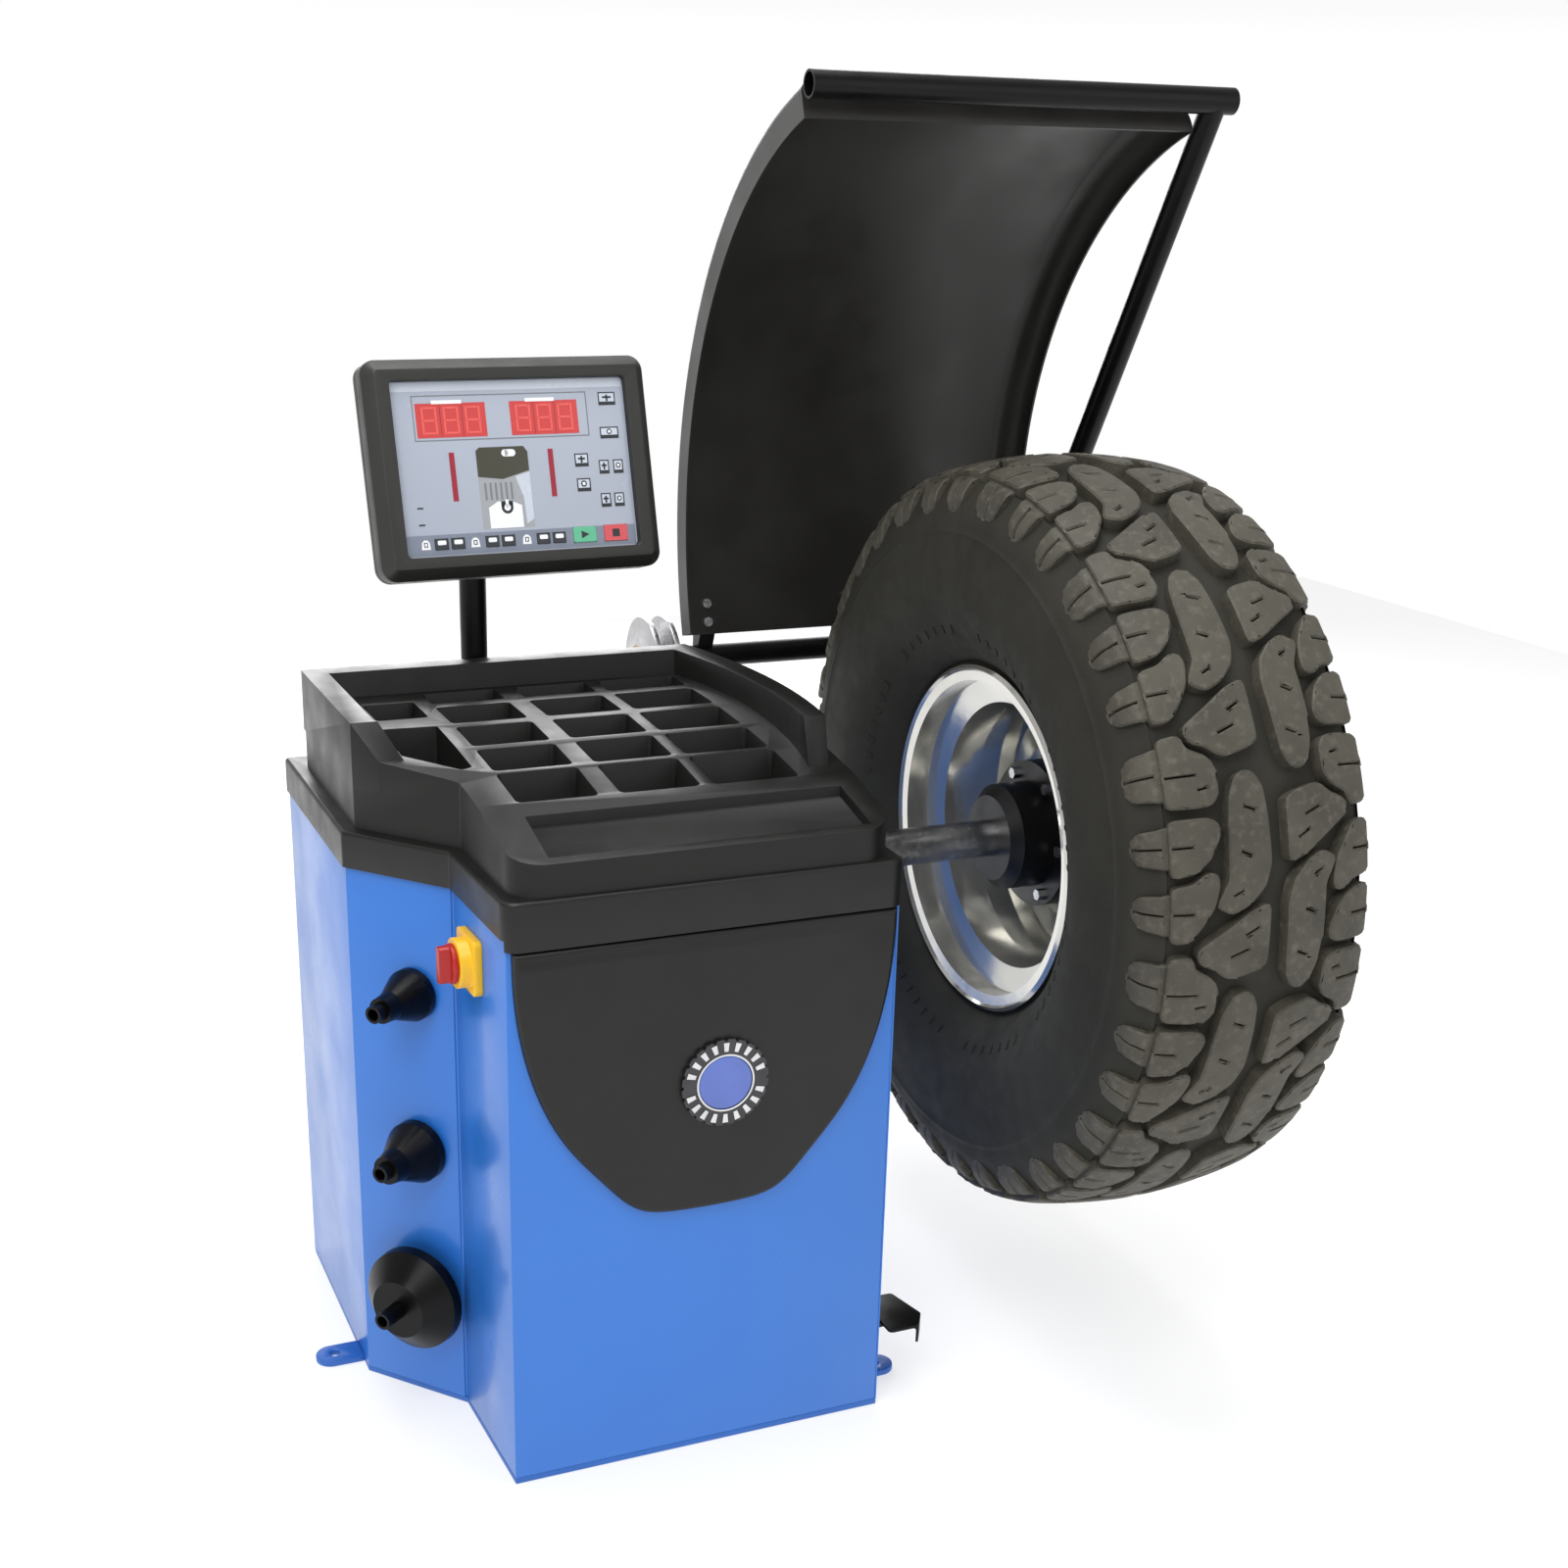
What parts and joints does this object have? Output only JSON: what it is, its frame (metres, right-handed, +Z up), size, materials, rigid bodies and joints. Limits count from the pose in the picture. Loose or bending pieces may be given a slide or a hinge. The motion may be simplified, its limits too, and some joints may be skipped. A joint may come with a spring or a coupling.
{
  "type": "wheel balancer",
  "caption": "Floor-standing wheel balancer with a weight tray, tilting display, swinging hood, brake pedal and a large off-road wheel clamped on its spindle.",
  "frame": {"origin": "on the floor, below the spindle axis and on the centre line of the front panel", "axes": "+X along the spindle towards the wheel, +Y to the back, +Z up"},
  "size_m": [1.2729, 1.083, 1.628],
  "materials": {
    "cabinet_paint": "satin",
    "base_steel": "satin",
    "black_plastic": "matte",
    "hood_plastic": "satin",
    "black_paint": "satin",
    "dark_steel": "satin",
    "grey_paint": "satin",
    "bare_steel": "brushed",
    "bearing_steel": "polished",
    "cast_iron": "cast",
    "bronze": "satin",
    "chrome": "polished",
    "zinc": "bright",
    "tyre_rubber": "matte",
    "belt_rubber": "matte",
    "case_plastic": "matte",
    "screen": "gloss",
    "board": "satin",
    "key_dark": "satin",
    "key_green": "satin",
    "key_red": "satin",
    "switch_yellow": "satin",
    "switch_red": "satin",
    "badge_chrome": "polished",
    "badge_blue": "gloss",
    "cone_black": "satin",
    "encoder_plastic": "satin"
  },
  "bodies": {
    "cabinet": {"base_plate": "base_steel", "anchor_feet": "base_steel", "front_panel": "cabinet_paint", "left_panel": "cabinet_paint", "right_panel": "cabinet_paint", "back_panel": "cabinet_paint", "panel_screws": "zinc", "weight_tray": "black_plastic", "front_apron": "black_plastic", "badge_ring": "badge_chrome", "badge_disc": "badge_blue", "cone_pegs": "black_paint", "switch_plate": "switch_yellow", "spindle_pedestal": "grey_paint", "spindle_housing": "cast_iron", "spindle_bearings": "bearing_steel", "drive_motor": "grey_paint", "motor_bracket": "dark_steel", "drive_belt": "belt_rubber", "power_board": "board", "hood_bracket": "bare_steel", "hood_bushes": "bronze", "hood_switch": "key_dark", "display_pole": "black_paint", "power_inlet": "black_plastic", "pedal_bearings": "dark_steel"},
    "spindle": {"spindle_shaft": "bearing_steel", "driven_pulley": "cast_iron", "encoder_disc": "encoder_plastic", "mounting_flange": "dark_steel", "flange_bolts": "zinc", "centring_cone": "bare_steel", "wheel_rim": "chrome", "tyre": "tyre_rubber"},
    "nut": {"quick_nut": "dark_steel"},
    "motor_rotor": {"motor_pulley": "bearing_steel"},
    "hood": {"hood_shell": "hood_plastic", "hood_frame": "black_paint", "hood_bolts": "zinc", "hood_cam": "black_paint"},
    "yoke": {"display_yoke": "black_paint", "tilt_pin": "zinc"},
    "display": {"display_case": "case_plastic", "display_back": "case_plastic", "display_panel": "screen", "display_board": "board"},
    "switch": {"switch_knob": "switch_red"},
    "pedal": {"brake_pedal": "black_paint"},
    "shoe": {"brake_shoe": "dark_steel"},
    "cone_s": {"small_cone": "cone_black"},
    "cone_m": {"medium_cone": "cone_black"},
    "cone_l": {"large_cone": "cone_black"},
    "button_1": {"key_1": "key_dark"},
    "button_2": {"key_2": "key_dark"},
    "button_3": {"key_3": "key_dark"},
    "button_4": {"key_4": "key_dark"},
    "button_5": {"key_5": "key_dark"},
    "button_6": {"key_6": "key_dark"},
    "button_start": {"start_key": "key_green"},
    "button_stop": {"stop_key": "key_red"}
  },
  "joints": [
    {"name": "spindle_spin", "type": "hinge", "parent": "cabinet", "child": "spindle", "pos_m": [0, 0, 0.665], "axis": [1, 0, 0], "continuous": true},
    {"name": "motor_spin", "type": "hinge", "parent": "cabinet", "child": "motor_rotor", "pos_m": [0, 0.13, 0.33], "axis": [1, 0, 0], "continuous": true},
    {"name": "nut_slide", "type": "slide", "parent": "spindle", "child": "nut", "axis": [1, 0, 0], "range_m": [0, 0.08]},
    {"name": "hood_swing", "type": "hinge", "parent": "cabinet", "child": "hood", "pos_m": [0.2, 0.525, 0.817], "axis": [1, 0, 0], "range_deg": [0, 32]},
    {"name": "display_turn", "type": "hinge", "parent": "cabinet", "child": "yoke", "pos_m": [-0.095, 0.371, 1.08], "axis": [0, 0, 1], "range_deg": [-60, 60]},
    {"name": "display_tilt", "type": "hinge", "parent": "yoke", "child": "display", "pos_m": [-0.09963, 0.32697, 1.09883], "axis": [0.9976, 0.0698, 0], "range_deg": [-8, 15]},
    {"name": "switch_turn", "type": "hinge", "parent": "cabinet", "child": "switch", "pos_m": [-0.24728, -0.15, 0.64], "axis": [-0.9993, -0.0362, 0], "range_deg": [0, 90]},
    {"name": "pedal_press", "type": "hinge", "parent": "cabinet", "child": "pedal", "pos_m": [0.08, -0.1, 0.092], "axis": [0, 1, 0], "range_deg": [0, 4.87], "stiffness_Nm_per_rad": 40, "springref_deg": -6.88},
    {"name": "shoe_lift", "type": "slide", "parent": "cabinet", "child": "shoe", "axis": [0, 0, 1], "range_m": [0, 0.0035]},
    {"name": "small_cone_slide", "type": "slide", "parent": "cabinet", "child": "cone_s", "axis": [-0.7677, -0.6408, 0], "range_m": [0, 0.12]},
    {"name": "medium_cone_slide", "type": "slide", "parent": "cabinet", "child": "cone_m", "axis": [-0.7677, -0.6408, 0], "range_m": [0, 0.12]},
    {"name": "large_cone_slide", "type": "slide", "parent": "cabinet", "child": "cone_l", "axis": [-0.7677, -0.6408, 0], "range_m": [0, 0.12]},
    {"name": "press_1", "type": "slide", "parent": "display", "child": "button_1", "axis": [-0.0674, 0.9636, -0.2588], "range_m": [0, 0.001], "stiffness_N_per_m": 400, "springref_m": -0.0005},
    {"name": "press_2", "type": "slide", "parent": "display", "child": "button_2", "axis": [-0.0674, 0.9636, -0.2588], "range_m": [0, 0.001], "stiffness_N_per_m": 400, "springref_m": -0.0005},
    {"name": "press_3", "type": "slide", "parent": "display", "child": "button_3", "axis": [-0.0674, 0.9636, -0.2588], "range_m": [0, 0.001], "stiffness_N_per_m": 400, "springref_m": -0.0005},
    {"name": "press_4", "type": "slide", "parent": "display", "child": "button_4", "axis": [-0.0674, 0.9636, -0.2588], "range_m": [0, 0.001], "stiffness_N_per_m": 400, "springref_m": -0.0005},
    {"name": "press_5", "type": "slide", "parent": "display", "child": "button_5", "axis": [-0.0674, 0.9636, -0.2588], "range_m": [0, 0.001], "stiffness_N_per_m": 400, "springref_m": -0.0005},
    {"name": "press_6", "type": "slide", "parent": "display", "child": "button_6", "axis": [-0.0674, 0.9636, -0.2588], "range_m": [0, 0.001], "stiffness_N_per_m": 400, "springref_m": -0.0005},
    {"name": "press_start", "type": "slide", "parent": "display", "child": "button_start", "axis": [-0.0674, 0.9636, -0.2588], "range_m": [0, 0.001], "stiffness_N_per_m": 400, "springref_m": -0.0005},
    {"name": "press_stop", "type": "slide", "parent": "display", "child": "button_stop", "axis": [-0.0674, 0.9636, -0.2588], "range_m": [0, 0.001], "stiffness_N_per_m": 400, "springref_m": -0.0005}
  ],
  "couplings": [
    {"joint": "motor_spin", "follows": "spindle_spin", "ratio": 3.3333},
    {"joint": "shoe_lift", "follows": "pedal_press", "m_per_rad": 0.04}
  ]
}
